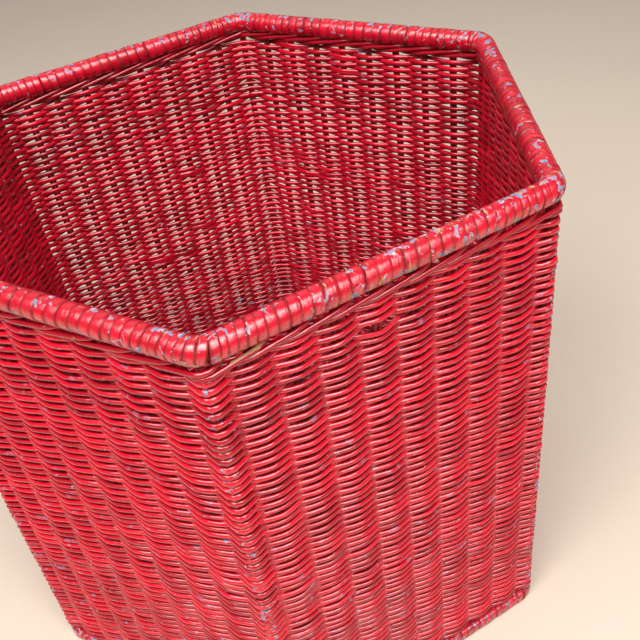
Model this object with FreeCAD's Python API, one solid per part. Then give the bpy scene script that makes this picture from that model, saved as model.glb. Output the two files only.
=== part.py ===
import FreeCAD, Part

import math
import os

# Hexagonal wicker basket, open at the top. Origin: centre of the foot on the floor, +Z up, corners on the
# X axis, flat sides facing front (-Y) and back (+Y). Millimetres.
#
# Construction: pairs of thin reed stakes stand between two flat hoops at the foot and rise between two
# half-round hoops at the rim. Reed is woven round the stakes and the six corner posts. A wale closes the
# weave under the rim. Cane is wound round the rim hoops and round the foot hoops. Headless pins fix the
# stakes to the hoops. The base is reed woven over sticks let into the inner foot hoop.

# Driving dimensions
SIDE = 198.0  # side of the hexagon on the rim's centre line
HEIGHT = 356.0  # floor to the top of the rim
RIM_R = 6.1  # outer radius of the wound rim
CANE_T = 0.9  # thickness of the binding cane
BEND_R = 12.0  # bend radius of the rim and the foot at their own centre line
REED_D = 2.5  # weaving reed
STAKE_R = 1.3
STAKES_PER_SIDE = 8  # pairs, between two corner posts
POST_R = 2.4
POST_RADIUS = 197.2  # from the basket's axis to a corner post's axis
FOOT_H = 9.3
FOOT_W = 10.4
HOOP_T = 2.8  # thickness of a foot hoop, inward to outward
HOOP_ROUND = 1.0  # rounding of a hoop's edges
FOOT_ROUND = 2.0  # rounding of the foot binding outside
STICK_R = 2.0
STICK_Z = 6.0
PIN_R = 0.45
PIN_Z_FOOT = 2.6
WALE_H = 6.8
RIM_SLIT = 1.1  # open height between the wale and the lowest line of the rim
FOOT_SLIT = 1.7  # open height between the foot binding and the weave
GAP = 0.1  # clearance between pieces that lie against each other
POST_GAP = 0.5  # vertical room that a corner post leaves below the rim binding
STAKE_RISE = 0.9  # how far a stake rises past the middle of the rim

# Derived sizes
TAN30 = math.tan(math.radians(30))
COS30 = math.cos(math.radians(30))
RIM_Z = HEIGHT - RIM_R
RIM_APOTHEM = SIDE * COS30
RIM_HOLLOW_R = RIM_R - CANE_T
RIM_HOOP_R = RIM_HOLLOW_R - GAP  # radius of the round that the two rim hoops make together
WALL_APOTHEM = RIM_APOTHEM  # the stakes' plane stands under the rim's centre line
WALL_SIDE = 2 * WALL_APOTHEM * TAN30
WALL_HALF = STAKE_R + REED_D  # the weave on each side of the stakes' plane
STAKE_PITCH = WALL_SIDE / (STAKES_PER_SIDE + 1)
STAKE_TOP = RIM_Z + STAKE_RISE
WALE_TOP = RIM_Z - RIM_R - RIM_SLIT
WALE_Z = (WALE_TOP - WALE_H, WALE_TOP)
WEAVE_Z = (FOOT_H + FOOT_SLIT, WALE_Z[0])
HOOP_Z = (CANE_T + GAP / 2, FOOT_H - CANE_T - GAP / 2)
HOOP_NEAR = STAKE_R + GAP  # from the stakes' plane to the nearest face of a hoop
HOOP_FAR = HOOP_NEAR + HOOP_T
FOOT_HOLLOW = HOOP_FAR + GAP
BASE_Z = (STICK_Z - STICK_R - REED_D, STICK_Z + STICK_R + REED_D)
BASE_APOTHEM = WALL_APOTHEM - FOOT_W / 2 - 3 * GAP
BASE_CORNER_R = BEND_R - FOOT_W / 2  # at least the bend of the foot binding's inner face

UP = FreeCAD.Vector(0, 0, 1)
ORIGIN = FreeCAD.Vector(0, 0, 0)
SIDES = ["front", "front_right", "back_right", "back", "back_left", "front_left"]
CORNERS = ["front_right", "right", "back_right", "back_left", "left", "front_left"]


def vec(x, y, z):
    return FreeCAD.Vector(x, y, z)


def turned(shape, step):
    """A copy turned by whole sixths about the basket's axis, counter-clockwise from the front side."""
    copy = shape.copy()
    copy.rotate(ORIGIN, UP, 60 * step)
    return copy


def round_face(x, y, z, radius):
    """A round section standing across the front side."""
    return Part.Face(Part.Wire(Part.makeCircle(radius, vec(x, y, z), vec(1, 0, 0))))


def box_face(x, y_low, y_high, z_low, z_high, radius):
    """A rectangular section with rounded corners, standing across the front side."""
    inset = radius * (1 - math.sqrt(0.5))
    corners = [(y_low, z_low, 1, 1), (y_high, z_low, -1, 1), (y_high, z_high, -1, -1), (y_low, z_high, 1, -1)]
    arcs = []
    for index, (y, z, inward_y, inward_z) in enumerate(corners):
        along_z = vec(x, y, z + inward_z * radius)
        along_y = vec(x, y + inward_y * radius, z)
        middle = vec(x, y + inward_y * inset, z + inward_z * inset)
        ends = (along_z, along_y) if index % 2 == 0 else (along_y, along_z)
        arcs.append((ends[0], middle, ends[1]))
    edges = []
    for index, (start, middle, end) in enumerate(arcs):
        edges.append(Part.Arc(start, middle, end).toShape())
        edges.append(Part.LineSegment(end, arcs[(index + 1) % 4][0]).toShape())
    return Part.Face(Part.Wire(edges))


def swept_side(section, apothem, bend):
    """One side of a hexagonal hoop: the section run straight, with half a corner bend at each end."""
    half = (apothem - bend) * TAN30
    face = section(half)
    straight = face.extrude(vec(-2 * half, 0, 0))
    right = face.revolve(vec(half, -(apothem - bend), 0), UP, 30)
    left = section(-half).revolve(vec(-half, -(apothem - bend), 0), UP, -30)
    return straight.multiFuse([right, left]).removeSplitter()


def closed_hoop(section, apothem, bend):
    """A whole hexagonal hoop."""
    side = swept_side(section, apothem, bend)
    return side.multiFuse([turned(side, step) for step in range(1, 6)]).removeSplitter()


def hexagon(apothem, z_low, z_high, corner_r=0):
    """A hexagonal prism with its corners on the X axis, its upright edges rounded if asked."""
    radius = apothem / COS30
    angles = [math.radians(60 * k) for k in range(7)]
    outline = Part.makePolygon([vec(radius * math.cos(a), radius * math.sin(a), z_low) for a in angles])
    prism = Part.Face(outline).extrude(vec(0, 0, z_high - z_low))
    if corner_r:
        upright = [e for e in prism.Edges if abs(e.tangentAt(e.FirstParameter).z) > 0.9]
        prism = prism.makeFillet(corner_r, upright)
    return prism


def front_wedge(z_low, z_high):
    """The sixth of space that holds the front side."""
    reach = 2 * SIDE
    points = [(0, 0), (-reach * TAN30, -reach), (reach * TAN30, -reach), (0, 0)]
    outline = Part.makePolygon([vec(x, y, z_low) for x, y in points])
    return Part.Face(outline).extrude(vec(0, 0, z_high - z_low))


def stake_xs():
    """Where the stake pairs stand along the front side."""
    middle = (STAKES_PER_SIDE - 1) / 2
    return [(index - middle) * STAKE_PITCH for index in range(STAKES_PER_SIDE)]


def stake_rods(radius, z_low, z_high):
    """The rods of the front side's stake pairs. The two rods of a pair stand side by side."""
    beside = STAKE_R + GAP / 2
    return [
        Part.makeCylinder(radius, z_high - z_low, vec(x + shift, -WALL_APOTHEM, z_low), UP)
        for x in stake_xs()
        for shift in (-beside, beside)
    ]


def corner_place(distance):
    """A point on the front right corner's line, at a distance from the basket's axis."""
    angle = math.radians(300)
    return distance * math.cos(angle), distance * math.sin(angle)


def on_bend(apothem):
    """Distance from the basket's axis to a bent centre line, along a corner's line."""
    return apothem / COS30 - BEND_R * (1 / COS30 - 1)


def post(radius_added=0.0):
    """The front right corner post: a round rod whose ends are cut down to tangs like stake ends."""
    tang = on_bend(WALL_APOTHEM)
    spans = [
        (tang, STAKE_R, HOOP_Z[0], WEAVE_Z[0]),
        (POST_RADIUS, POST_R, FOOT_H + GAP, RIM_Z - RIM_R - POST_GAP),
        (tang, STAKE_R, WALE_Z[0], STAKE_TOP),
    ]
    rods = []
    for distance, radius, z_low, z_high in spans:
        x, y = corner_place(distance)
        rods.append(Part.makeCylinder(radius + radius_added, z_high - z_low, vec(x, y, z_low), UP))
    return rods[0].multiFuse(rods[1:]).removeSplitter()


def pins(z, from_out, to_out, reach_added=0.0, radius_added=0.0):
    """Headless pins through the front side, one between the rods of each stake pair."""
    radius = PIN_R + radius_added
    length = to_out - from_out + 2 * reach_added
    start = -(WALL_APOTHEM + from_out - reach_added)
    return [Part.makeCylinder(radius, length, vec(x, start, z), vec(0, -1, 0)) for x in stake_xs()]


def all_round(shapes):
    """The front side's shapes on all six sides."""
    return [turned(shape, step) for shape in shapes for step in range(6)]


def rim_pins(**sizes):
    return pins(RIM_Z, GAP - RIM_HOOP_R, RIM_HOOP_R - GAP, **sizes)


def foot_pins(**sizes):
    return pins(PIN_Z_FOOT, -HOOP_FAR, HOOP_FAR, **sizes)


def stick_xs():
    """Where the base sticks lie along X: in line with the middles between the front stakes."""
    return [index * STAKE_PITCH for index in range(-STAKES_PER_SIDE, STAKES_PER_SIDE + 1)]


def sticks(radius_added, apothem):
    """The base sticks, cut to a hexagon so that their ends lie in the inner foot hoop."""
    limit = hexagon(apothem, 0, FOOT_H * 2)
    rods = []
    for x in stick_xs():
        rod = Part.makeCylinder(STICK_R + radius_added, 2 * SIDE, vec(x, -SIDE, STICK_Z), vec(0, 1, 0))
        rods.append(rod.common(limit).Solids[0])
    return rods


def woven_side(z_low, z_high):
    """The front side of the weave as a closed panel, with channels for its stakes and corner posts."""
    shell = hexagon(WALL_APOTHEM + WALL_HALF, z_low, z_high, 2 * REED_D)
    shell = shell.cut(hexagon(WALL_APOTHEM - WALL_HALF, z_low, z_high))
    panel = shell.common(front_wedge(z_low, z_high))
    channels = stake_rods(STAKE_R + GAP / 4, z_low - 1, z_high + 1)
    channels += [post(GAP), turned(post(GAP), -1)]
    return panel.cut(channels).removeSplitter()


def rim_hoop(outward):
    """A half-round hoop of the rim, on the outer side of the stakes (outward 1) or on the inner side (-1)."""

    def section(x):
        flat_y = -RIM_APOTHEM - outward * HOOP_NEAR
        reach = vec(0, outward * 2 * RIM_R, 0)
        line = Part.makeLine(vec(x, flat_y, RIM_Z - 2 * RIM_R), vec(x, flat_y, RIM_Z + 2 * RIM_R))
        return round_face(x, -RIM_APOTHEM, RIM_Z, RIM_HOOP_R).cut(line.extrude(reach)).Faces[0]

    hoop = closed_hoop(section, RIM_APOTHEM, BEND_R)
    return hoop.cut(all_round(rim_pins(reach_added=2 * GAP, radius_added=GAP / 2)))


def rim_binding():
    """The cane wound round the front side's rim, as a hollow sleeve that the stakes enter from below."""

    def section(x):
        outer = round_face(x, -RIM_APOTHEM, RIM_Z, RIM_R)
        return outer.cut(round_face(x, -RIM_APOTHEM, RIM_Z, RIM_HOLLOW_R)).Faces[0]

    sleeve = swept_side(section, RIM_APOTHEM, BEND_R)
    entries = stake_rods(STAKE_R + GAP / 4, RIM_Z - 2 * RIM_R, RIM_Z)
    return sleeve.cut(entries + [post(GAP / 2), turned(post(GAP / 2), -1)])


def foot_hoop(out_low, out_high):
    """A flat hoop of the foot, between two distances outward from the stakes' plane."""

    def section(x):
        return box_face(x, -WALL_APOTHEM - out_high, -WALL_APOTHEM - out_low, *HOOP_Z, HOOP_ROUND)

    hoop = closed_hoop(section, WALL_APOTHEM, BEND_R)
    return hoop.cut(all_round(foot_pins(reach_added=GAP, radius_added=GAP / 2)))


def foot_binding():
    """The cane round the front side's foot, flat underneath: a sleeve that the stakes enter from above."""

    def section(x):
        half = FOOT_W / 2
        outer = box_face(x, -WALL_APOTHEM - half, -WALL_APOTHEM + half, 0, FOOT_H, FOOT_ROUND)
        hollow_y = (-WALL_APOTHEM - FOOT_HOLLOW, -WALL_APOTHEM + FOOT_HOLLOW)
        return outer.cut(box_face(x, *hollow_y, CANE_T, FOOT_H - CANE_T, HOOP_ROUND + GAP)).Faces[0]

    sleeve = swept_side(section, WALL_APOTHEM, BEND_R)
    entries = stake_rods(STAKE_R + GAP / 4, FOOT_H / 2, WEAVE_Z[0])
    return sleeve.cut(entries + [post(GAP / 2), turned(post(GAP / 2), -1)])


def stakes():
    """The front side's stake rods, notched for the pins that pass between them."""
    notches = rim_pins(reach_added=GAP, radius_added=GAP / 2) + foot_pins(radius_added=GAP / 2)
    return Part.makeCompound([rod.cut(notches) for rod in stake_rods(STAKE_R, HOOP_Z[0], STAKE_TOP)])


def base_weave():
    """The woven base as a closed panel with a channel for each stick."""
    panel = hexagon(BASE_APOTHEM, BASE_Z[0], BASE_Z[1], BASE_CORNER_R)
    return panel.cut(sticks(GAP / 2, BASE_APOTHEM + REED_D))


def nodes():
    """Each node's name and shape."""
    weave = woven_side(*WEAVE_Z)
    wale = woven_side(*WALE_Z)
    rim_wrap = rim_binding()
    foot_wrap = foot_binding()
    side_stakes = stakes()
    stick_holes = sticks(GAP / 2, WALL_APOTHEM - HOOP_NEAR + GAP)
    for step, side in enumerate(SIDES):
        yield "wall_weave_" + side, turned(weave, step)
        yield "top_wale_" + side, turned(wale, step)
        yield "stakes_" + side, turned(side_stakes, step)
        yield "rim_binding_" + side, turned(rim_wrap, step)
        yield "foot_binding_" + side, turned(foot_wrap, step).cut(stick_holes)
    for step, corner in enumerate(CORNERS):
        yield "corner_post_" + corner, turned(post(), step)
    yield "rim_outer_hoop", rim_hoop(1)
    yield "rim_inner_hoop", rim_hoop(-1)
    yield "rim_pins", Part.makeCompound(all_round(rim_pins()))
    yield "foot_outer_hoop", foot_hoop(HOOP_NEAR, HOOP_FAR)
    yield "foot_inner_hoop", foot_hoop(-HOOP_FAR, -HOOP_NEAR).cut(stick_holes)
    yield "foot_pins", Part.makeCompound(all_round(foot_pins()))
    yield "base_sticks", Part.makeCompound(sticks(0, WALL_APOTHEM - HOOP_NEAR - GAP))
    yield "base_weave", base_weave()


os.makedirs("parts", exist_ok=True)
for name, shape in nodes():
    solids = shape.Solids
    whole = solids[0] if len(solids) == 1 else Part.makeCompound(solids)
    whole.exportStep("parts/" + name + ".step")
    print(name, len(solids), "valid" if whole.isValid() else "NOT VALID", round(whole.Volume), "mm3")
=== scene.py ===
import math

import bpy
import numpy as np
from mathutils import Matrix, Vector


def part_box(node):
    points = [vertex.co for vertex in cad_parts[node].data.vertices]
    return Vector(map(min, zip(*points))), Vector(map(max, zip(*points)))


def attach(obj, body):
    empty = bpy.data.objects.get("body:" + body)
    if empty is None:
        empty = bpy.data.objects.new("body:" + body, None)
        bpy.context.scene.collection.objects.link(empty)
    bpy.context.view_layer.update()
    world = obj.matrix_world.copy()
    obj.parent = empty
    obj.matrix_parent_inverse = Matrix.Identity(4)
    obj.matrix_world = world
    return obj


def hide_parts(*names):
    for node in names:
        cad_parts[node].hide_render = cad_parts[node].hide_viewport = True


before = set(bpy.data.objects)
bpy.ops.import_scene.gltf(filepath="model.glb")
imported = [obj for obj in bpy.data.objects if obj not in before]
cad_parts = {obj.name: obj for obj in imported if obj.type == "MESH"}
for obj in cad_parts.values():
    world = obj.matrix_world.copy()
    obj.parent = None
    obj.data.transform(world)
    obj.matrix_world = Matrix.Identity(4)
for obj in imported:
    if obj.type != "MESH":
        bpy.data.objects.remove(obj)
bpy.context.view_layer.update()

SIDES = ("front", "front_right", "back_right", "back", "back_left", "front_left")
CORNERS = ("front_left", "front_right", "right", "back_right", "back_left", "left")
# The outward normal of each side, counterclockwise seen from above.
SIDE_ANGLE = [math.radians(-90 + 60 * k) for k in range(6)]
MM = 0.001

# ---------------------------------------------------------------- sizes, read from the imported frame
PAIRS = 8                       # stake pairs in one side
SPACES = PAIRS + 1              # spaces between stakes in one side
STATIONS = 6 * SPACES           # stake pairs and posts all the way round


def box_of(node):
    """The lowest and highest corner of a CAD node."""
    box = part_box(node)
    return np.array(box[0]), np.array(box[1])


RIM_LOW, RIM_HIGH = box_of("rim_binding_front")
RIM_R = (RIM_HIGH[2] - RIM_LOW[2]) / 2
RIM_Z = (RIM_HIGH[2] + RIM_LOW[2]) / 2
RIM_APOTHEM = -RIM_LOW[1] - RIM_R
STAKE_LOW, STAKE_HIGH = box_of("stakes_front")
WALL_APOTHEM = -(STAKE_LOW[1] + STAKE_HIGH[1]) / 2
WALL_SIDE = WALL_APOTHEM * 2 / math.sqrt(3)
PITCH = WALL_SIDE / SPACES      # from one stake pair to the next
WEAVE_LOW, WEAVE_HIGH = box_of("wall_weave_front")
WEAVE_Z = (WEAVE_LOW[2], WEAVE_HIGH[2])
WALE_LOW, WALE_HIGH = box_of("top_wale_front")
WALE_Z = (WALE_LOW[2], WALE_HIGH[2])
POST_LOW, POST_HIGH = box_of("corner_post_front_right")
POST_R = (POST_HIGH[0] - POST_LOW[0]) / 2
POST_AT = math.hypot(POST_HIGH[0] + POST_LOW[0], POST_HIGH[1] + POST_LOW[1]) / 2
FOOT_H = box_of("foot_binding_front")[1][2]
BASE_LOW, BASE_HIGH = box_of("base_weave")
STICK_LOW, STICK_HIGH = box_of("base_sticks")
STICK_Z = (STICK_LOW[2] + STICK_HIGH[2]) / 2

# ---------------------------------------------------------------- sizes of the woven and wound strands
REED_R = 1.40 * MM              # a weaving reed with its paint
ROWS = 127
PAIR_PASS = 2.78 * MM           # how far a strand's middle stands off the wall's middle at a stake pair
POST_PASS = POST_R + REED_R     # how far it stands off a corner post's middle
BEND = 4.0 * MM                 # radius of the wall's middle line round a corner
RIM_BEND = 12.0 * MM            # radius of the rim's and the foot's middle lines round a corner
CANE_THICK = 0.9 * MM
STEP = 10                       # samples along a reed from one station to the next
TUBE = 8                        # sides of a wall or base reed's section
WALE_TUBE = 10                  # sides of a wale reed's section
TIP = 0.25                      # how far a strand's end bulges, as a share of its radius
SEED = 20


def rng_for(word):
    """A random source of its own for each thing made, the same in every run."""
    return np.random.default_rng([SEED, *word.encode()])


# ---------------------------------------------------------------- meshes from arrays
def add_mesh(name, verts, face_sets, attributes, material, smooth=True):
    """A mesh object from vertex and face arrays, with float or vector attributes on its points."""
    mesh = bpy.data.meshes.new(name)
    verts = np.asarray(verts, np.float32)
    mesh.vertices.add(len(verts))
    mesh.vertices.foreach_set("co", verts.ravel())
    loops = np.concatenate([f.ravel() for f in face_sets]).astype(np.int32)
    counts = np.concatenate([np.full(len(f), f.shape[1]) for f in face_sets]).astype(np.int32)
    starts = np.concatenate([[0], np.cumsum(counts)[:-1]]).astype(np.int32)
    mesh.loops.add(len(loops))
    mesh.loops.foreach_set("vertex_index", loops)
    mesh.polygons.add(len(counts))
    mesh.polygons.foreach_set("loop_start", starts)
    mesh.polygons.foreach_set("loop_total", counts)
    mesh.update(calc_edges=True)
    mesh.polygons.foreach_set("use_smooth", np.full(len(counts), smooth))
    for key, values in attributes.items():
        kind = "FLOAT_VECTOR" if values.ndim == 2 else "FLOAT"
        field = "vector" if values.ndim == 2 else "value"
        layer = mesh.attributes.new(key, kind, "POINT")
        layer.data.foreach_set(field, values.astype(np.float32).ravel())
    mesh.materials.append(material)
    mesh.validate()
    obj = bpy.data.objects.new(name, mesh)
    bpy.context.scene.collection.objects.link(obj)
    return obj


def end_direction(line, end):
    """Unit direction of a line at its first or last point."""
    step = line[1] - line[0] if end == 0 else line[-1] - line[-2]
    return step / np.linalg.norm(step)


class Strands:
    """Collects swept strands into one mesh."""

    def __init__(self):
        self.verts, self.quads, self.tris = [], [], []
        self.attributes = {"grain": [], "shade_and_dust": [], "wear": [], "tone": []}
        self.count = 0

    def sweep(self, centre, out, up, profile, closed, grain, shade_and_dust, wear, tone):
        """Adds a strand. centre, out, up: (n,3). profile: (n,m,2) offsets along out and up. grain: (n,m,3).
        recess, wear and tone fit (n,m). A strand that isn't closed gets a bulging tip at each end."""
        n, m = profile.shape[:2]
        points = centre[:, None] + profile[..., :1] * out[:, None] + profile[..., 1:] * up[:, None]
        index = self.count + np.arange(n * m).reshape(n, m)
        here = index if closed else index[:-1]
        ahead = np.roll(index, -1, axis=0) if closed else index[1:]
        quads = np.stack([here, ahead, np.roll(ahead, -1, axis=1), np.roll(here, -1, axis=1)], axis=-1)
        self.quads.append(quads.reshape(-1, 4))
        self.verts.append(points.reshape(-1, 3))
        shares = {"shade_and_dust": shade_and_dust, "wear": wear, "tone": tone}
        parts = {key: np.broadcast_to(values, (n, m)).ravel() for key, values in shares.items()}
        parts["grain"] = grain.reshape(-1, 3)
        self.count += n * m
        for end, way in () if closed else ((0, -1), (n - 1, 1)):
            radius = np.linalg.norm(points[end, 0] - centre[end])
            self.verts.append((centre[end] + way * TIP * radius * end_direction(centre, end))[None])
            ring, beside = index[end], np.roll(index[end], -1)
            pair = (beside, ring) if way == 1 else (ring, beside)
            self.tris.append(np.stack([*pair, np.full(m, self.count)], axis=-1))
            for key in shares:
                parts[key] = np.append(parts[key], parts[key][end * m])
            parts["grain"] = np.vstack([parts["grain"], grain[end, :1]])
            self.count += 1
        for key, values in parts.items():
            self.attributes[key].append(values)

    def build(self, name, material):
        sets = [np.concatenate(self.quads)]
        if self.tris:
            sets.append(np.concatenate(self.tris))
        attributes = {k: np.concatenate(v) for k, v in self.attributes.items()}
        return add_mesh(name, np.concatenate(self.verts), sets, attributes, material)


def finish_piece(obj, slot, *nodes):
    """Puts a piece on the basket's one body, in place of the CAD nodes that it stands for."""
    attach(obj, "root")
    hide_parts(*nodes)


# ---------------------------------------------------------------- lines and sections
def eased(u):
    """Eases from 0 to 1, level at both ends."""
    return u * u * (3 - 2 * u)


def smooth_steps(values, t):
    """Reads values at whole numbers of a ring and eases between them."""
    i = np.floor(t).astype(int)
    u = eased(t - i)
    n = len(values)
    return values[i % n] * (1 - u) + values[(i + 1) % n] * u


def frames(centre, closed):
    """Outward and upward unit directions across a line that goes round counterclockwise."""
    if closed:
        tangent = np.roll(centre, -1, axis=0) - np.roll(centre, 1, axis=0)
    else:
        tangent = np.gradient(centre, axis=0)
    tangent /= np.linalg.norm(tangent, axis=1, keepdims=True)
    out = np.cross(tangent, [0, 0, 1.0])
    out /= np.linalg.norm(out, axis=1, keepdims=True)
    return out, np.cross(out, tangent)


def section_angles(sides):
    return np.arange(sides) / sides * 2 * math.pi


def oval_sections(depth, height, sides, twist=0.0):
    """(n,sides,2) oval sections from their half sizes."""
    turn = section_angles(sides) + twist
    return np.stack([depth[:, None] * np.cos(turn), height[:, None] * np.sin(turn)], axis=-1)


def grain_places(line, sides, shift_along=0.0, shift_round=0.0):
    """(n,sides,3) places that the paint's streaks are read at: along the strand, then round its section."""
    length = np.concatenate([[0], np.cumsum(np.linalg.norm(np.diff(line, axis=0), axis=1))])
    turn = section_angles(sides)
    grain = np.empty((len(line), sides, 3))
    grain[..., 0] = length[:, None] + shift_along
    grain[..., 1] = np.cos(turn) * REED_R
    grain[..., 2] = np.sin(turn) * REED_R + shift_round
    return grain


def from_corner(place):
    """How far a place on the hexagon is from its nearest corner. Both count in sides."""
    return np.abs((place + 0.5) % 1 - 0.5)


def hexagon_line(place, apothem, bend):
    """Points and outward directions on a hexagon with rounded corners.
    place counts sides, from the front's left end."""
    side = np.floor(place).astype(int) % 6
    along = place - np.floor(place)
    half = apothem / math.sqrt(3)
    x = (along * 2 - 1) * half
    reach = bend * math.tan(math.pi / 6)
    angle = np.array(SIDE_ANGLE)[side]
    edge = half - np.abs(x)
    rounded = edge < reach
    turn = np.where(rounded, (1 - edge / reach) * math.pi / 6, 0) * np.sign(x)
    normal = np.stack([np.cos(angle), np.sin(angle)], axis=-1)
    forward = np.stack([-np.sin(angle), np.cos(angle)], axis=-1)
    straight = normal * apothem + forward * x[:, None]
    heart = normal * (apothem - bend) + forward * ((half - reach) * np.sign(x))[:, None]
    turned = np.stack([np.cos(angle + turn), np.sin(angle + turn)], axis=-1)
    point = np.where(rounded[:, None], heart + turned * bend, straight)
    return point, np.where(rounded[:, None], turned, normal)


# ---------------------------------------------------------------- how a reed passes the stakes
CORNER_AT = WALL_APOTHEM * 2 / math.sqrt(3) - BEND * (2 / math.sqrt(3) - 1)
OUT_AT_POST = POST_AT + POST_PASS - CORNER_AT
IN_AT_POST = CORNER_AT - (POST_AT - POST_PASS)
POST_HOLD = 0.8                 # below 1, a strand leaves a corner post sooner than it leaves a stake pair
STRAIGHT = 0.4                  # how straight a strand runs between stations; the rest is a smooth wave
STAKE_SHADE = 1.5                # how dull, and how dark with painted shade and dust, a reed is against the stakes; 1 and more is fully hidden
INNER_SHADE = 0.44               # how dull it is on the side that faces into the basket, and how dark with painted shade there
UNDER_SHADE = 0.80               # and along its underside, in the slit: painted shade there, with some dust


def side_steps(t, signs, around=1):
    """How far a strand that goes round so many times stands off the wall's middle at station t.
    signs says whether it passes outside, 1, or inside, -1, at each station."""
    count = STATIONS * around
    corner = np.arange(count) % SPACES == 0
    outside = np.where(corner, OUT_AT_POST, PAIR_PASS)
    inside = np.where(corner, IN_AT_POST, PAIR_PASS)
    at = np.where(signs > 0, outside, -inside)
    i = np.floor(t).astype(int)
    u = t - i
    here, there = i % count, (i + 1) % count
    u = np.where(corner[here], u ** POST_HOLD, np.where(corner[there], 1 - (1 - u) ** POST_HOLD, u))
    share = STRAIGHT * u + (1 - STRAIGHT) * (1 - np.cos(math.pi * u)) / 2
    return at[here] * (1 - share) + at[there] * share


def shade_and_dust_share(out_part, up_part, off):
    """How much painted shade, dust and dulled gloss a point of a reed gets, from 0 to 1, where it lies
    against the stakes, on its inward side and on its underside. out_part, up_part: where it faces.
    off: how far out the reed is."""
    against_stakes = -STAKE_SHADE * off[:, None] / PAIR_PASS * out_part
    dull = np.maximum(-INNER_SHADE * out_part, -UNDER_SHADE * up_part)
    return np.clip(np.maximum(against_stakes, dull), 0, 1)


# ---------------------------------------------------------------- unevenness that the rows share
WAVE_HEIGHT = 330               # in mm, the height in which a slant of 1 moves a wave on by its whole length
STILL_FOOT = (11, 30)           # rows lie level up to this height and wave fully so far above it, in mm
STILL_TOP = (336, 25)           # and the same from the wale down
PARTED_REACH = 14               # in mm, how far above and below a parting its strands are pushed
PARTED_FADE = 5                 # in mm, how fast that push fades


def wave_terms(random, count, times_round, slant, size):
    """Waves in the wall: how often each goes round, how much it slants, its phase and its size in mm."""
    return [(random.integers(*times_round), random.uniform(-slant, slant), random.uniform(0, 2 * math.pi),
             random.uniform(*size)) for _ in range(count)]


def small_partings(random, count):
    """Places where strands are pushed apart: station, height in mm, push in mm, and width in stations."""
    return [(random.integers(0, STATIONS), random.uniform(20, 330), random.uniform(0.2, 0.75),
             random.uniform(0.35, 0.7)) for _ in range(count)]


shared = rng_for("shared waves")
WAVE_TERMS = wave_terms(shared, 9, (1, 9), 5, (0.12, 0.34))
WAVE_TERMS += wave_terms(shared, 12, (12, 40), 14, (0.04, 0.10))
LARGE_PARTING = (4, 320.0, 4.6, 0.6)     # near the top of the front, a little left of its middle
PARTED = [LARGE_PARTING] + small_partings(shared, 110)


def shared_wave(t, z):
    """The slow unevenness that neighbouring rows share, in metres."""
    height = z / MM
    total = np.zeros_like(t)
    for around, slant, phase, size in WAVE_TERMS:
        total += size * np.sin(2 * math.pi * (around * t / STATIONS + slant * (height / WAVE_HEIGHT)) + phase)
    calm = np.clip((height - STILL_FOOT[0]) / STILL_FOOT[1], 0, 1)
    calm = calm * np.clip((STILL_TOP[0] - height) / STILL_TOP[1], 0, 1)
    total = total * calm
    for station, middle, push, width in PARTED:
        beside = (t - station + STATIONS / 2) % STATIONS - STATIONS / 2
        away = height - middle
        if abs(away) < PARTED_REACH:
            fade = math.exp(-abs(away) / PARTED_FADE)
            total += push * np.sign(away) * np.exp(-(beside / width) ** 2) * fade * calm
    return total * MM


# ---------------------------------------------------------------- the wall's rows
BOTTOM_ROWS = 9                 # rows over the foot that are of thicker reed
BOTTOM_THICKER = 1.05
ROW_JITTER = 0.16 * MM
ROW_SHIFT = (0.731, 0.0137)     # moves the streaks from row to row, so that no two rows look the same
SPLICE_LAP = 0.62               # in stations, how far each end of a spliced row runs on past the splice
SPLICE_PUSH = 1.25 * MM         # how far each end moves down or up to let the other one pass
SPLICE_REACH = 0.75             # in stations, how far from its tip an end is moved like this
CORNER_REACH = 3.4 * MM         # how near a corner a reed is squeezed by its bend
CROSSING_REACH = 1.5 * MM       # how near the wall's middle it counts as crossing it
# A reed's half depth and half height as shares of its radius, and what is added at a corner (to the height
# only outside the post), where the reed crosses the wall's middle, and where it passes inside.
DEPTH, DEPTH_AT_CORNER = 0.97, -0.12
HEIGHT, HEIGHT_AT_CORNER, HEIGHT_CROSSING, HEIGHT_INSIDE = 1.03, 0.55, 0.16, 0.30
CORNER_WEAR = 0.6


def weave_rows():
    """Middle height and reed radius of every row, from the bottom up."""
    random = rng_for("rows")
    radius = REED_R * (1 + 0.07 * random.standard_normal(ROWS).clip(-1.8, 1.8))
    radius[:BOTTOM_ROWS] *= BOTTOM_THICKER
    gaps = radius[1:] + radius[:-1]
    height = np.concatenate([[0], np.cumsum(gaps)])
    low, high = WEAVE_Z[0] + REED_R, WEAVE_Z[1] - REED_R
    return low + height / height[-1] * (high - low), radius


ROW_Z, ROW_R = weave_rows()


def row_line(row, random):
    """A row's middle line, its places in stations, how far out it is, and whether it is spliced.
    A spliced row's ends pass each other inside the basket, one below the other. Other rows are closed."""
    signs = np.where((np.arange(STATIONS) + row) % 2 == 0, 1, -1)
    inside = [i for i in range(STATIONS) if signs[i] < 0 and i % SPACES not in (0, 1, SPACES - 1)]
    start = int(random.choice(inside))
    spliced = random.random() < 0.5
    lap = SPLICE_LAP if spliced else 0.0
    count = int(round((STATIONS + 2 * lap) * STEP))
    t = start - lap + np.arange(count + (1 if spliced else 0)) * (STATIONS + 2 * lap) / count
    place = t % STATIONS
    flat, out_dir = hexagon_line(place / SPACES, WALL_APOTHEM, BEND)
    uneven = 1 + 0.03 * random.standard_normal(STATIONS)
    off = side_steps(place, signs) * smooth_steps(uneven, place)
    jitter = smooth_steps(random.normal(0, ROW_JITTER, STATIONS), place)
    z = ROW_Z[row] + shared_wave(place, ROW_Z[row]) + jitter
    if spliced:
        z = z - SPLICE_PUSH * np.exp(-((t - t[0]) / SPLICE_REACH) ** 4)
        z = z + SPLICE_PUSH * np.exp(-((t[-1] - t) / SPLICE_REACH) ** 4)
    return np.column_stack([flat + out_dir * off[:, None], z]), place, off, spliced


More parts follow.
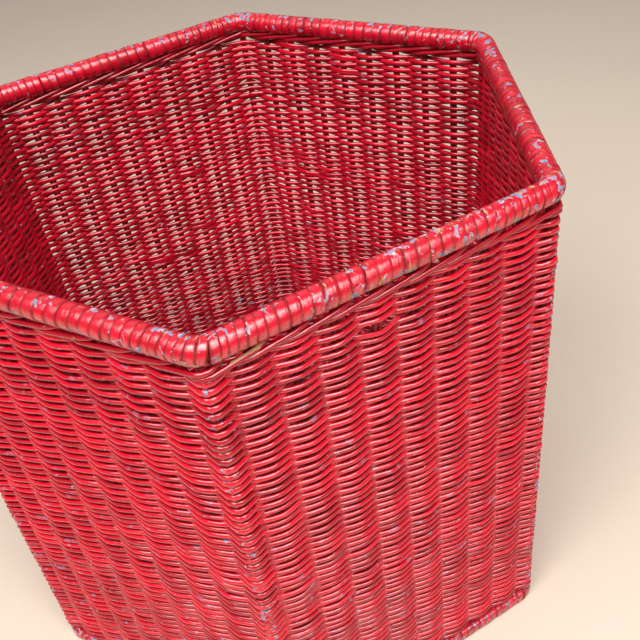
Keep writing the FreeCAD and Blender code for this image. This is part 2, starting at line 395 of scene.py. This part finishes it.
def weave_row(strands, row):
    """One row of reed: in front of every other stake pair or post and behind the others."""
    random = rng_for(f"row {row}")
    centre, place, off, spliced = row_line(row, random)
    out, up = frames(centre, not spliced)
    at_corner = np.exp(-(from_corner(place / SPACES) * WALL_SIDE / CORNER_REACH) ** 2)
    crossing = np.exp(-(off / CROSSING_REACH) ** 2)
    outer = np.clip(off / PAIR_PASS, 0, 1)
    inner = np.clip(-off / PAIR_PASS, 0, 1)
    thick = ROW_R[row] * (1 + 0.05 * smooth_steps(random.standard_normal(STATIONS), place))
    lumps = 0.02 * random.standard_normal((len(place), TUBE))
    depth = thick * (DEPTH + DEPTH_AT_CORNER * at_corner)
    taller = HEIGHT_AT_CORNER * at_corner * outer + HEIGHT_CROSSING * crossing + HEIGHT_INSIDE * inner
    height = thick * (HEIGHT + taller)
    twist = random.uniform(0, 0.8)
    profile = oval_sections(depth, height, TUBE, twist) * (1 + lumps[..., None])
    facing = section_angles(TUBE) + twist
    # painted shade and dust where the reed lies against the stakes, on its inward side and along its
    # underside
    shade_and_dust = shade_and_dust_share(np.cos(facing), np.sin(facing), off)
    grain = grain_places(centre, TUBE, row * ROW_SHIFT[0], row * ROW_SHIFT[1])
    wear = (at_corner * outer)[:, None] * CORNER_WEAR
    strands.sweep(centre, out, up, profile, not spliced, grain, shade_and_dust, wear, random.random())


# ---------------------------------------------------------------- materials
def lin(r, g, b):
    """An sRGB colour in 0 to 255 as linear RGBA."""
    def one(v):
        v /= 255
        return v / 12.92 if v <= 0.04045 else ((v + 0.055) / 1.055) ** 2.4
    return (one(r), one(g), one(b), 1.0)


class Nodes:
    """Builds one node material."""

    def __init__(self, name):
        self.material = bpy.data.materials.new(name)
        self.material.use_nodes = True
        self.tree = self.material.node_tree
        self.tree.nodes.clear()
        self.shader = self.tree.nodes.new("ShaderNodeBsdfPrincipled")
        output = self.tree.nodes.new("ShaderNodeOutputMaterial")
        self.tree.links.new(self.shader.outputs[0], output.inputs["Surface"])
        self.object = self.tree.nodes.new("ShaderNodeTexCoord").outputs["Object"]

    def put(self, socket, value):
        if isinstance(value, bpy.types.NodeSocket):
            self.tree.links.new(value, socket)
        elif value is not None:
            socket.default_value = value

    def attribute(self, name, output="Fac"):
        node = self.tree.nodes.new("ShaderNodeAttribute")
        node.attribute_name = name
        return node.outputs[output]

    def math(self, operation, a, b=None, clamp=False):
        node = self.tree.nodes.new("ShaderNodeMath")
        node.operation = operation
        node.use_clamp = clamp
        self.put(node.inputs[0], a)
        self.put(node.inputs[1], b)
        return node.outputs[0]

    def add(self, first, *others):
        for other in others:
            first = self.math("ADD", first, other)
        return first

    def times(self, first, *others):
        for other in others:
            first = self.math("MULTIPLY", first, other)
        return first

    def scale(self, vector, factors):
        node = self.tree.nodes.new("ShaderNodeVectorMath")
        node.operation = "MULTIPLY"
        self.put(node.inputs[0], vector)
        node.inputs[1].default_value = factors
        return node.outputs[0]

    def noise(self, vector, scale, detail=2.0, rough=0.5, distortion=0.0):
        node = self.tree.nodes.new("ShaderNodeTexNoise")
        self.put(node.inputs["Vector"], vector)
        node.inputs["Scale"].default_value = scale
        node.inputs["Detail"].default_value = detail
        node.inputs["Roughness"].default_value = rough
        node.inputs["Distortion"].default_value = distortion
        return node.outputs["Fac"]

    def step(self, value, low, high):
        """Eases from 0 to 1 as value goes from low to high."""
        node = self.tree.nodes.new("ShaderNodeMapRange")
        node.interpolation_type = "SMOOTHSTEP"
        self.put(node.inputs["Value"], value)
        node.inputs["From Min"].default_value = low
        node.inputs["From Max"].default_value = high
        return node.outputs["Result"]

    def mix(self, factor, a, b):
        node = self.tree.nodes.new("ShaderNodeMix")
        node.data_type = "RGBA"
        self.put(node.inputs["Factor"], factor)
        self.put(node.inputs[6], a)
        self.put(node.inputs[7], b)
        return node.outputs[2]

    def bump(self, height, distance):
        node = self.tree.nodes.new("ShaderNodeBump")
        node.inputs["Strength"].default_value = 1.0
        node.inputs["Distance"].default_value = distance
        self.put(node.inputs["Height"], height)
        return node.outputs[0]

    def z_of(self, vector):
        node = self.tree.nodes.new("ShaderNodeSeparateXYZ")
        self.put(node.inputs[0], vector)
        return node.outputs[2]


RED_DEEP = lin(166, 1, 28)
RED_LIT = lin(226, 4, 44)
RED_FADED = lin(206, 66, 84)
RED_STAINED = lin(150, 40, 44)
# dark red for painted shade in recesses, and for the dark lines along the grain
SHADE_AND_LINE_RED = lin(62, 2, 8)
DUST = lin(142, 84, 78)
PRIMER = lin(222, 176, 180)
BLUE = lin(98, 136, 172)
LILAC = lin(146, 134, 162)
SCUFF = lin(172, 112, 140)
CANE = lin(206, 162, 118)
CANE_BROWN = lin(176, 124, 82)
LOW_FROM, LOW_TO = 0.24, 0.02   # in metres, from where down to where paint gets more faded and chipped
PAINT_RELIEF = 0.26 * MM
ROD_RELIEF = 0.2 * MM


def painted(name, chips, cane, dust=0.12, gloss=0.26, fine=1.0, faded=0.5, lines=0.0, edge_force=0.17,
            mottle=0.40, clusters=(26, 0.14), painted_light=0.0, patchy=0.0, coat=1.68, scuffs=0.0):
    """Red gloss paint over a blue coat over bare cane, chipped and dusty, with painted shade in its recesses.

    chips, cane: how much of the older coats and of the bare cane shows.
    dust: how much dust lies in recesses. gloss: the paint's roughness. coat: its index of refraction.
    fine: how fine lumps and chips are. faded: how much pale red shows.
    lines: how strong the dark lines along a strip are.
    mottle: how much strands differ in tone. painted_light: how far all of them are shifted to the lighter
    red, as painted light.
    edge_force: how much more a worn edge chips. clusters: how fine the clusters of chips are, and how strong.
    patchy: how many more chips there are in broad patches. scuffs: how strong the lilac scuffs are.
    """
    n = Nodes(name)
    grain = n.attribute("grain", "Vector")
    shade_and_dust = n.attribute("shade_and_dust")
    wear = n.attribute("wear")
    tone = n.attribute("tone")
    broad = n.noise(n.object, 16, 3, 0.6)
    lumps = n.noise(n.object, 300 * fine, 3, 0.6)
    streaks = n.noise(n.scale(grain, (80, 1500, 1500)), 1.0, 3, 0.65)
    low = n.step(n.z_of(n.object), LOW_FROM, LOW_TO)
    # the red, from deep to the lighter red, and faded in patches
    shade = n.add(n.times(tone, mottle), n.times(broad, 0.35))
    shade = n.add(shade, n.add(n.times(streaks, 0.45), (0.40 - mottle) / 2 + painted_light))
    colour = n.mix(n.step(shade, 0.3, 0.95), RED_DEEP, RED_LIT)
    patches = n.step(n.noise(n.object, 70, 4, 0.7), 0.42, 0.8)
    pale = n.times(n.add(n.times(low, 0.5), 0.2), patches)
    colour = n.mix(n.times(pale, faded), colour, RED_FADED)
    # soft scuffs, dark lines along the grain, and painted shade and dust in the recesses
    if scuffs:
        rubbed = n.noise(n.scale(n.object, (1.0, 1.0, 1.7)), 125, 3, 0.6)
        colour = n.mix(n.times(n.step(rubbed, 0.62, 0.70), scuffs), colour, SCUFF)
    if lines:
        fine_lines = n.noise(n.scale(grain, (40, 1300, 1300)), 1.0, 2, 0.5)
        colour = n.mix(n.times(n.step(fine_lines, 0.56, 0.68), lines), colour, SHADE_AND_LINE_RED)
    # painted shade: darker red on the parts of a reed hidden against stakes and sticks, on its inward side
    # and underside, and along a strip's edges between turns
    colour = n.mix(n.times(shade_and_dust, 0.62), colour, SHADE_AND_LINE_RED)
    dusty = n.times(shade_and_dust, n.step(n.noise(n.object, 170, 3, 0.6), 0.35, 0.7), dust)
    colour = n.mix(dusty, colour, DUST)
    # chips: clusters of small angular patches with a pale edge, more where the surface is worn
    patch = n.noise(n.object, 250 * fine, 4, 0.6, 0.5)
    cluster = n.noise(n.object, clusters[0], 2, 0.5)
    force = n.add(n.times(wear, edge_force), n.times(cluster, clusters[1]), n.times(low, 0.035))
    force = n.add(force, n.times(n.step(broad, 0.42, 0.62), patchy))
    value = n.add(patch, force)
    chip = n.step(value, 0.855 - chips, 0.870 - chips)
    under = n.step(value, 0.868 - chips, 0.882 - chips)
    tint = n.mix(n.step(n.noise(n.object, 60, 2), 0.50, 0.62), BLUE, LILAC)
    tint = n.mix(n.step(n.noise(n.object, 420, 2), 0.56, 0.66), tint, PRIMER)
    colour = n.mix(chip, colour, PRIMER)
    colour = n.mix(under, colour, tint)
    # bare cane
    bare = n.noise(n.scale(grain, (120, 500, 500)), 1.0, 3, 0.6)
    bare = n.add(bare, n.times(wear, 0.18), n.times(cluster, 0.06))
    bare = n.step(bare, 0.84 - cane, 0.87 - cane)
    colour = n.mix(bare, colour, n.mix(streaks, CANE, CANE_BROWN))
    n.put(n.shader.inputs["Base Color"], colour)
    # gloss, which is lost with the paint and dulled in the recesses
    lost = n.math("MAXIMUM", chip, bare)
    rough = n.add(n.times(lumps, 0.16), gloss - 0.08)
    rough = n.add(rough, n.times(shade_and_dust, 0.32))
    rough = n.math("ADD", rough, n.times(lost, 0.22), clamp=True)
    n.put(n.shader.inputs["Roughness"], rough)
    n.shader.inputs["Specular IOR Level"].default_value = 0.12
    kept = n.math("SUBTRACT", 1.0, lost)
    clean = n.math("SUBTRACT", 1.0, n.times(shade_and_dust, 0.9))
    n.put(n.shader.inputs["Coat Weight"], n.times(kept, clean))
    n.shader.inputs["Coat Roughness"].default_value = gloss * 0.6
    n.shader.inputs["Coat IOR"].default_value = coat
    relief = n.add(n.times(lumps, 0.5), n.times(streaks, 0.35 + lines))
    relief = n.math("SUBTRACT", relief, n.times(lost, 0.35))
    bumped = n.bump(relief, PAINT_RELIEF)
    n.put(n.shader.inputs["Normal"], bumped)
    n.put(n.shader.inputs["Coat Normal"], bumped)
    return n.material


def rod_material(name, base, dark, painted_share, fibre_scale):
    """Reed or cane rods: brown and dusty, with red paint where the brush reached them. Fibres run along
    the axes that fibre_scale is lower on."""
    n = Nodes(name)
    fibre = n.noise(n.scale(n.object, fibre_scale), 1.0, 3, 0.6)
    blotch = n.noise(n.object, 85, 4, 0.65)
    reached = n.step(n.noise(n.object, 210, 4, 0.7), 0.62 - painted_share, 0.72 - painted_share)
    colour = n.mix(n.step(fibre, 0.3, 0.7), dark, base)
    colour = n.mix(reached, colour, n.mix(blotch, RED_DEEP, RED_STAINED))
    n.put(n.shader.inputs["Base Color"], colour)
    n.put(n.shader.inputs["Roughness"], n.add(n.times(blotch, 0.25), 0.5))
    n.put(n.shader.inputs["Normal"], n.bump(fibre, ROD_RELIEF))
    return n.material


def steel_material():
    n = Nodes("dull_pin_steel")
    spots = n.noise(n.object, 900, 3, 0.6)
    colour = n.mix(n.step(spots, 0.45, 0.7), lin(150, 146, 140), lin(120, 78, 52))
    n.put(n.shader.inputs["Base Color"], colour)
    n.shader.inputs["Metallic"].default_value = 0.9
    n.put(n.shader.inputs["Roughness"], n.add(n.times(spots, 0.3), 0.3))
    return n.material


WALL_PAINT = painted("painted_wall_reed", chips=0.085, cane=0.02, mottle=0.5, scuffs=0.62)
WALE_PAINT = painted("painted_wale_reed", chips=0.01, cane=0.08)
# the rim's red is shifted lighter all over, as painted light
RIM_PAINT = painted("painted_rim_cane", chips=-0.03, cane=0.075, dust=0.3, gloss=0.33, faded=0.2, lines=0.5,
                    edge_force=0.14, mottle=0.24, clusters=(95, 0.42), painted_light=0.08, patchy=0.03, coat=1.85)
FOOT_PAINT = painted("painted_foot_cane", chips=0.095, cane=0.02, dust=0.6, gloss=0.44, fine=0.9, faded=1.0,
                     lines=0.3)
BASE_PAINT = painted("painted_base_reed", chips=0.0, cane=0.04, dust=0.8, gloss=0.36)
ALONG_Z, ALONG_Y, LYING_FLAT = (900, 900, 72), (900, 72, 900), (180, 180, 900)
# the stakes' dark brown is their dusty colour, made darker still as painted shade for the gaps between
# strands
SHADED_STAKE_ROD = rod_material("dusty_stake_reed_painted_shade", lin(96, 38, 36), lin(40, 12, 14), 0.2, ALONG_Z)
POST_ROD = rod_material("painted_post_rod", lin(110, 26, 28), lin(60, 10, 14), 0.3, ALONG_Z)
STICK_ROD = rod_material("bare_base_stick", lin(176, 132, 92), lin(118, 80, 52), 0.05, ALONG_Y)
HOOP_STRIP = rod_material("dusty_hoop_strip", lin(150, 96, 78), lin(92, 52, 44), 0.16, LYING_FLAT)
# kept dark red-brown, so that the gaps between the rim's turns read dark
CORE_ROD = rod_material("dark_red_rim_hoop", lin(104, 46, 40), lin(56, 18, 18), 0.25, LYING_FLAT)
PIN_STEEL = steel_material()

# ---------------------------------------------------------------- pieces: wall
BANDS = 14                      # pieces that the rows are shared between, which keeps each piece's mesh small


def wall_reeds():
    edges = np.linspace(0, ROWS, BANDS + 1).round().astype(int)
    nodes = [f"wall_weave_{s}" for s in SIDES]
    for band in range(BANDS):
        strands = Strands()
        for row in range(edges[band], edges[band + 1]):
            weave_row(strands, row)
        finish_piece(strands.build(f"wall_reeds_{band + 1:02d}", WALL_PAINT), "wall_reed", *nodes)


wall_reeds()

# ---------------------------------------------------------------- pieces: the wale under the rim
WALE_CYCLE = 4                  # stations in which a strand passes two stakes in front and two behind
WALE_LOW_GAP = 1.45 * MM        # between the wale's lower edge and the middle of a strand at its lowest
WALE_HIGH_GAP = 1.1 * MM        # between its upper edge and the middle of a strand at its highest in front
WALE_INNER_LIFT = 1.5 * MM      # the rim's underside leaves more room on the inner side
WALE_SWING = 0.35 * MM          # how much further out and in a strand swings between the two stakes it passes
WALE_JITTER = 0.18 * MM
WALE_SHIFT = 31.7               # moves the streaks along the second strand, in metres
WALE_WORN_AT, WALE_WORN_REACH = 1.2, 0.8     # in stations, the worn stretch near the front's left end


def wale_level(phase):
    """Height of a wale strand: it rises in front, phase 0 to 0.5, and comes down behind, 0.5 to 1."""
    low, high = WALE_Z[0] + WALE_LOW_GAP, WALE_Z[1] - WALE_HIGH_GAP
    low_in, high_in = low + WALE_INNER_LIFT, high + WALE_INNER_LIFT
    heights = [low, low, high, high_in, high_in, low_in, low]
    level = np.interp(phase, [0, 0.06, 0.44, 0.5, 0.56, 0.94, 1], heights)
    for _ in range(3):
        level = (level + np.roll(level, 1) + np.roll(level, -1)) / 3
    return level


def wale_strand(strands, which):
    """A reed that goes round twice: in front of two stakes, rising, then behind two, going down."""
    random = rng_for(f"wale {which}")
    stations = 2 * STATIONS
    t = np.arange(stations * STEP) / STEP
    signs = np.where((np.arange(stations) - which) % WALE_CYCLE < 2, 1, -1)
    phase = ((t - which + 0.5) % WALE_CYCLE) / WALE_CYCLE
    z = wale_level(phase) + smooth_steps(random.normal(0, WALE_JITTER, stations), t)
    flat, out_dir = hexagon_line((t % STATIONS) / SPACES, WALL_APOTHEM, BEND)
    off = side_steps(t, signs, around=2) + WALE_SWING * np.sin(2 * math.pi * phase)
    centre = np.column_stack([flat + out_dir * off[:, None], z])
    out, up = frames(centre, True)
    thick = REED_R * (1 + 0.06 * smooth_steps(random.standard_normal(stations), t))
    lumps = 0.015 * random.standard_normal((len(t), WALE_TUBE, 1))
    profile = oval_sections(thick, thick * 1.02, WALE_TUBE, twist=0.2) * (1 + lumps)
    turn = section_angles(WALE_TUBE)
    # painted shade and dust where the reed lies against the stakes, on its inward side and along its
    # underside
    shade_and_dust = shade_and_dust_share(np.cos(turn), np.sin(turn), off)
    worn = np.exp(-((t - WALE_WORN_AT) / WALE_WORN_REACH) ** 2) if which == 0 else np.zeros_like(t)
    wear = (0.2 + worn * 1.3)[:, None] * np.clip(0.6 + 0.6 * np.sin(turn), 0, 1)
    grain = grain_places(centre, WALE_TUBE, WALE_SHIFT * which)
    strands.sweep(centre, out, up, profile, True, grain, shade_and_dust, wear, random.random())


def wale_reeds():
    nodes = [f"top_wale_{s}" for s in SIDES]
    for which in range(2):
        strands = Strands()
        wale_strand(strands, which)
        finish_piece(strands.build(f"wale_reed_{which + 1}", WALE_PAINT), "wale_reed", *nodes)


wale_reeds()

# ---------------------------------------------------------------- pieces: wound cane
TURN_STEPS = 26                 # samples round one turn of cane
TURN_HOLDS = 0.8                # share of a turn after which it moves over to the next, near the underside
LEAN_FROM, TILT_FROM = 0.6, 4.0  # angles at which a turn's lean is largest and its tilt is zero, in radians
TILT_FRONT, TILT_ELSEWHERE = 1.5 * MM, 0.5 * MM
BEND_REACH = 0.577              # tan 30 degrees: a rounded corner's reach along a side, per bend radius
FAN = 0.5                       # how much wider turns get outside a bend, and narrower inside it
CORNER_WORN_REACH = 11 * MM
GRAIN_TURN = 0.0113             # moves the streaks from one turn to the next, in metres
RIM_FULLER = 0.55 * MM          # how much fuller the wound rim is than its plain CAD sleeve
FOOT_HALF_W = 5.2 * MM
STRIP_ACROSS = np.array([0.0, -0.5, -0.47, -0.41, -0.22, 0.0, 0.22, 0.41, 0.47, 0.5])    # in widths
STRIP_CROWN = np.array([0.0, 0.05, 0.50, 0.86, 0.98, 1.0, 0.98, 0.86, 0.50, 0.05])       # in thicknesses


def strip_sections(width):
    """(n,m,2) sections of a cane strip, across and outward, with their highest point on the outline."""
    x = width[:, None] * STRIP_ACROSS
    y = np.broadcast_to(CANE_THICK * (STRIP_CROWN - 1), x.shape)
    return np.stack([x, y], axis=-1)


def limited(random, spread, limit, count):
    """Normal draws, cut off at a limit."""
    return random.normal(0, spread, count).clip(-limit, limit)


def wound_strip(name, slot, nodes, material, word, outline, wear_at, apothem, z_middle, turns_per_side,
                corner_tight, uneven, worn=()):
    """A cane strip wound round a hexagonal hoop. outline gives the hoop's section and the way out of it.
    corner_tight: how much closer turns lie at corners. uneven: how much their spacing varies.
    worn lists more or less worn stretches: where they are in sides, how far they reach, how much is added."""
    random = rng_for(word)
    side_length = 2 * apothem / math.sqrt(3)
    turns = turns_per_side * 6
    place = (np.arange(turns) + 0.5) / turns_per_side
    side = np.floor(place)
    u = place - side
    place = side + (u - corner_tight * np.sin(2 * math.pi * u) / (2 * math.pi))
    pitch = (1 - corner_tight * np.cos(2 * math.pi * u)) / turns_per_side * side_length
    shift = limited(random, uneven, 1.6 * uneven, turns) * pitch
    lean = limited(random, 0.3 * MM, 0.5 * MM, turns)
    tilt = np.where(side == 0, TILT_FRONT, TILT_ELSEWHERE) + limited(random, 0.22 * MM, 0.4 * MM, turns)
    lift = np.abs(limited(random, 0.17 * MM, 0.4 * MM, turns))
    broad = 1.15 + 0.05 * random.standard_normal(turns).clip(-1.5, 1.5)
    tones = random.random(turns)
    phase = np.arange(turns * TURN_STEPS) / TURN_STEPS          # in turns
    k = np.floor(phase).astype(int)
    angle = (phase - k) * 2 * math.pi
    share = eased(np.clip(((phase - k) - TURN_HOLDS) / (1 - TURN_HOLDS), 0, 1))

    def read(values):
        """A turn's own value over most of the turn, easing into the next one's."""
        return values[k] * (1 - share) + values[(k + 1) % turns] * share

    unrolled = np.append(place, place[0] + 6)
    along = unrolled[k] * (1 - share) + unrolled[k + 1] * share
    moved = read(shift) + read(lean) * np.cos(angle - LEAN_FROM) - read(tilt) * np.sin(angle - TILT_FROM)
    along = along + moved / side_length
    flat, out_dir = hexagon_line(along % 6, apothem, RIM_BEND)
    level = np.zeros(len(k))
    tangent = np.column_stack([-out_dir[:, 1], out_dir[:, 0], level])
    outward = np.column_stack([out_dir, level])
    upward = np.array([0, 0, 1.0])
    out_at, up_at, facing_out, facing_up = outline(angle)
    direction = outward * facing_out[:, None] + upward * facing_up[:, None]
    centre = np.column_stack([flat, level + z_middle]) + outward * out_at[:, None] + upward * up_at[:, None]
    centre = centre + direction * read(lift)[:, None]
    width = read(pitch) * read(broad)
    from_bend = from_corner(along) * side_length
    fan = np.where(from_bend < RIM_BEND * BEND_REACH, out_at / RIM_BEND * FAN, 0)
    profile = strip_sections(width * (1 + fan))
    profile[..., 1] += (0.045 * CANE_THICK) * random.standard_normal(profile.shape[:2])
    grain = np.empty((*profile.shape[:2], 3))
    grain[..., 0] = (phase * 2 * math.pi * np.mean(np.hypot(out_at, up_at)))[:, None]
    grain[..., 1] = profile[..., 0]
    grain[..., 2] = k[:, None] * GRAIN_TURN
    edge = np.abs(profile[..., 0]) / width[:, None] * 2
    # painted shade and dust along each strip's edges, where it curves down between turns
    shade_and_dust = np.clip((edge - 0.74) / 0.10, 0, 1)
    corner = np.exp(-(from_bend / CORNER_WORN_REACH) ** 2)
    wear = wear_at(angle)[:, None] * (0.75 + 0.4 * edge) + 0.25 * corner[:, None]
    for middle, reach, amount in worn:
        wear = wear + amount * np.exp(-(((along - middle + 3) % 6 - 3) / reach) ** 2)[:, None]
    strands = Strands()
    strands.sweep(centre, tangent, direction, profile, True, grain, shade_and_dust, wear, read(tones)[:, None])
    finish_piece(strands.build(name, material), slot, *nodes)


def rim_outline(angle):
    """A round hoop, starting at its underside and going up its inner side."""
    turn = angle - math.pi / 2
    r = RIM_R + RIM_FULLER
    return -r * np.cos(turn), r * np.sin(turn), -np.cos(turn), np.sin(turn)


def foot_outline(angle):
    """A hoop of nearly square section with rounded edges, starting and going round in the same way."""
    turn = angle - math.pi / 2
    half_w, half_h, power = FOOT_HALF_W, FOOT_H / 2, 5.0
    c, s = -np.cos(turn), np.sin(turn)
    r = (np.abs(c) ** power + np.abs(s) ** power) ** (-1 / power)
    nx = np.sign(c) * np.abs(c * r) ** (power - 1) / half_w
    ny = np.sign(s) * np.abs(s * r) ** (power - 1) / half_h
    size = np.hypot(nx, ny)
    return half_w * c * r, half_h * s * r, nx / size, ny / size


def near_angle(angle, middle, reach):
    """1 at a middle angle, fading to 0 beyond a reach. Both are in degrees."""
    return np.exp(-((np.degrees(angle) - middle) / reach) ** 2)


def rim_wear(angle):
    """Most worn along the lower outer edge and the top."""
    return 0.1 + 0.8 * near_angle(angle, 292, 20) + 0.6 * near_angle(angle, 172, 24)


def foot_wear(angle):
    """Most worn along the lower and upper outer edges."""
    return 0.25 + 0.4 * near_angle(angle, 300, 30) + 0.3 * near_angle(angle, 225, 20)


def cane_windings():
    rim_nodes = [f"rim_binding_{s}" for s in SIDES]
    foot_nodes = [f"foot_binding_{s}" for s in SIDES]
    wound_strip("rim_cane_winding", "rim_cane", rim_nodes, RIM_PAINT, "rim", rim_outline, rim_wear,
                RIM_APOTHEM, RIM_Z, turns_per_side=35, corner_tight=0.28, uneven=0.045,
                worn=((0.15, 0.1, -0.3), (0.66, 0.32, 0.28), (5.6, 0.3, -0.2)))
    wound_strip("foot_cane_winding", "foot_cane", foot_nodes, FOOT_PAINT, "foot", foot_outline, foot_wear,
                WALL_APOTHEM, FOOT_H / 2, turns_per_side=36, corner_tight=0.1, uneven=0.035)


cane_windings()

# ---------------------------------------------------------------- pieces: the base
BASE_PITCH = 2.6 * MM           # from one row of the base to the next
BASE_EDGE = 1.6 * MM            # how far short of the base's edge the rows turn back
BASE_TURN = 1.1 * MM            # how far the turn back reaches out
BASE_STEP = 6                   # samples from one base stick to the next
LAST_STICK = 8.2                # so many stick spaces from the middle the rows start to swing less
LAST_SWING = 0.6
BASE_JITTER = 0.08 * MM


def base_line(random, swing):
    """The middle line of one reed that goes to and fro over and under the base sticks."""
    apothem = -BASE_LOW[1]
    rows = int(2 * (apothem - REED_R) / BASE_PITCH)
    points = []
    for row in range(rows):
        y = (row - (rows - 1) / 2) * BASE_PITCH
        reach = (apothem - REED_R - 0.5 * abs(y)) / math.cos(math.pi / 6) - BASE_EDGE
        count = int(round(2 * reach / (PITCH / BASE_STEP)))
        x = np.linspace(-reach, reach, count + 1)
        if row % 2:
            x = x[::-1]
        less = np.where(np.abs(x) > LAST_STICK * PITCH, LAST_SWING, 1)
        z = STICK_Z + swing * np.cos(math.pi * x / PITCH + math.pi * row) * less
        wave = 0.25 * MM * np.sin(x / 0.05 + row * 0.07) + 0.2 * MM * np.sin(x / 0.021 + 1.3 + row * 0.11)
        points.append(np.column_stack([x, y + wave, z + random.normal(0, BASE_JITTER, len(x))]))
        if row < rows - 1:
            out = x[-1] + math.copysign(BASE_TURN, x[-1])
            points.append(np.array([[out, y + BASE_PITCH / 2, STICK_Z + (z[-1] - STICK_Z) * 0.4]]))
    return np.concatenate(points)


def base_reed():
    random = rng_for("base")
    swing = (BASE_HIGH[2] - BASE_LOW[2]) / 2 - REED_R
    line = base_line(random, swing)
    tangent = np.gradient(line, axis=0)
    tangent /= np.linalg.norm(tangent, axis=1, keepdims=True)
    up = np.array([0, 0, 1.0]) - tangent * tangent[:, 2:]
    up /= np.linalg.norm(up, axis=1, keepdims=True)
    size = np.full(len(line), REED_R)
    lumps = 0.02 * random.standard_normal((len(line), TUBE, 1))
    profile = oval_sections(size, size, TUBE) * (1 + lumps)
    # painted shade and dust on the reed's faces that lie against the base sticks
    shade_and_dust = np.clip(-STAKE_SHADE * (line[:, 2:] - STICK_Z) / swing * np.sin(section_angles(TUBE)), 0, 1)
    strands = Strands()
    strands.sweep(line, np.cross(tangent, up), up, profile, False, grain_places(line, TUBE), shade_and_dust, 0.0, 0.4)
    finish_piece(strands.build("base_reed", BASE_PAINT), "base_reed", "base_weave")


base_reed()


# ---------------------------------------------------------------- finishes of the CAD pieces that stay
def dress(material, *nodes):
    for node in nodes:
        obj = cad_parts[node]
        obj.data.materials.clear()
        obj.data.materials.append(material)


dress(SHADED_STAKE_ROD, *[f"stakes_{s}" for s in SIDES])
dress(POST_ROD, *[f"corner_post_{c}" for c in CORNERS])
dress(CORE_ROD, "rim_outer_hoop", "rim_inner_hoop")
dress(HOOP_STRIP, "foot_outer_hoop", "foot_inner_hoop")
dress(STICK_ROD, "base_sticks")
dress(PIN_STEEL, "rim_pins", "foot_pins")

# ---------------------------------------------------------------- floor, light, camera
FLOOR_HALF = 30.0               # half the floor's width, in metres
FLOOR_DROP = 0.4 * MM           # how far the floor lies below zero, so that no CAD face lies in it
LENS, SENSOR = 47.6, 36.0       # in mm
CAMERA_AT = (-0.1744, -0.4362, 0.5748)
CAMERA_RIGHT = (0.8459, -0.5226, -0.1068)
CAMERA_UP = (0.4014, 0.4919, 0.7728)
CAMERA_BACK = (-0.3513, -0.6965, 0.6258)


def floor_piece():
    n = Nodes("pale_floor")
    cloud = n.noise(n.object, 1.6, 3, 0.5)
    fine = n.noise(n.object, 60, 3, 0.5)
    colour = n.mix(cloud, lin(215, 199, 182), lin(223, 209, 192))
    colour = n.mix(n.times(fine, 0.12), colour, lin(194, 175, 156))
    n.put(n.shader.inputs["Base Color"], colour)
    n.shader.inputs["Roughness"].default_value = 0.6
    corners = np.array([(x, y, -FLOOR_DROP) for x, y in ((-1, -1), (1, -1), (1, 1), (-1, 1))])
    verts = corners * [FLOOR_HALF, FLOOR_HALF, 1]
    add_mesh("floor", verts, [np.array([[0, 1, 2, 3]])], {}, n.material, smooth=False)


def area_light(name, azimuth, elevation, distance, size, power, colour, target=(0, 0, 0.2)):
    """A soft light that faces its target. azimuth is where it stands, counted counterclockwise from +X."""
    data = bpy.data.lights.new(name, "AREA")
    data.shape = "RECTANGLE"
    data.size, data.size_y = size
    data.energy = power
    data.color = colour
    obj = bpy.data.objects.new(name, data)
    a, e = math.radians(azimuth), math.radians(elevation)
    back = Vector((math.cos(a) * math.cos(e), math.sin(a) * math.cos(e), math.sin(e)))
    obj.location = Vector(target) + back * distance
    obj.rotation_mode = "QUATERNION"
    obj.rotation_quaternion = back.to_track_quat("Z", "Y")
    bpy.context.scene.collection.objects.link(obj)


def studio_light():
    warm, mild = (1.0, 0.98, 0.96), (1.0, 0.98, 0.97)
    area_light("key", azimuth=238, elevation=68, distance=1.9, size=(2.2, 0.8), power=50, colour=warm)
    area_light("front_fill", azimuth=265, elevation=44, distance=2.3, size=(0.8, 0.9), power=16.5,
               colour=mild)
    area_light("left_fill", azimuth=208, elevation=46, distance=2.3, size=(0.75, 0.8), power=13.0,
               colour=mild)
    area_light("back_fill", azimuth=75, elevation=60, distance=2.2, size=(2.4, 2.0), power=5.0, colour=warm,
               target=(0.15, 0.6, 0.0))
    world = bpy.data.worlds.new("soft_room")
    world.use_nodes = True
    background = world.node_tree.nodes["Background"]
    background.inputs["Color"].default_value = (1.0, 0.97, 0.95, 1.0)
    background.inputs["Strength"].default_value = 0.17
    bpy.context.scene.world = world
    bpy.context.scene.view_settings.view_transform = "Standard"


def camera():
    data = bpy.data.cameras.new("camera")
    data.lens = LENS
    data.sensor_width = SENSOR
    data.clip_start = 0.02
    data.shift_y = 0.003
    obj = bpy.data.objects.new("camera", data)
    bpy.context.scene.collection.objects.link(obj)
    rotation = Matrix((CAMERA_RIGHT, CAMERA_UP, CAMERA_BACK)).transposed()
    obj.matrix_world = Matrix.Translation(CAMERA_AT) @ rotation.to_4x4()
    bpy.context.scene.camera = obj


floor_piece()
studio_light()
camera()
